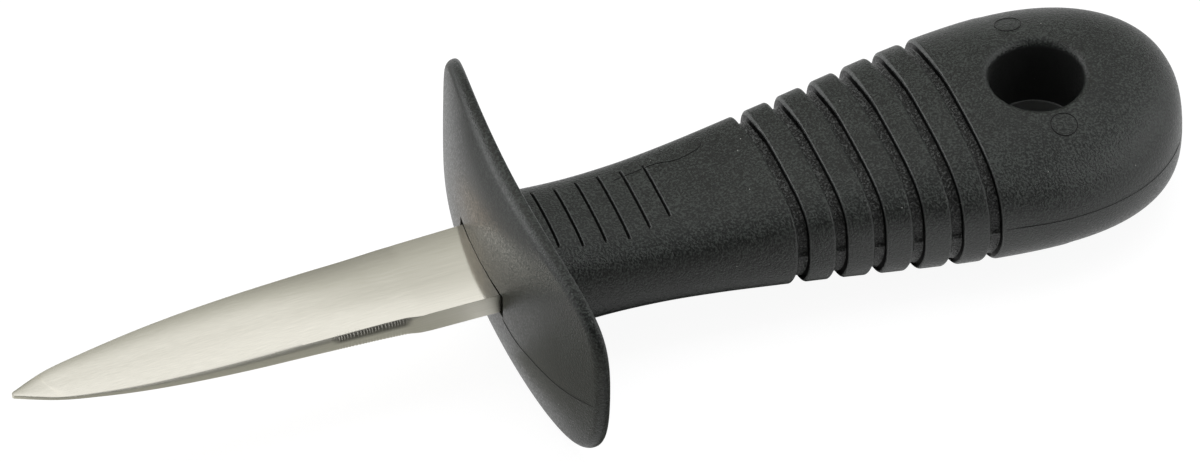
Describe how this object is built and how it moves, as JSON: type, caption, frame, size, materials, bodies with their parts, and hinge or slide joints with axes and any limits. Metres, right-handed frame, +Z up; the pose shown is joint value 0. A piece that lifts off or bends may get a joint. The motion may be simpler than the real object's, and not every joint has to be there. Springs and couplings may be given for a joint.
{
  "type": "oyster knife",
  "caption": "Oyster knife with a lancet steel blade and a black moulded handle with an oval guard, thumb grooves, ring grooves and a hang hole.",
  "frame": {"origin": "centre of the hang hole, on the handle's parting plane", "axes": "+X from the blade's tip to the butt, +Y across the blade, +Z up out of the hang hole, square to the blade's flat"},
  "size_m": [0.1619, 0.0588, 0.0292],
  "materials": {
    "blade_steel": "lengthwise ground, satin",
    "handle_plastic": "fine spark-eroded grain, satin"
  },
  "bodies": {
    "root": {"blade": "blade_steel", "handle": "handle_plastic"}
  },
  "joints": []
}
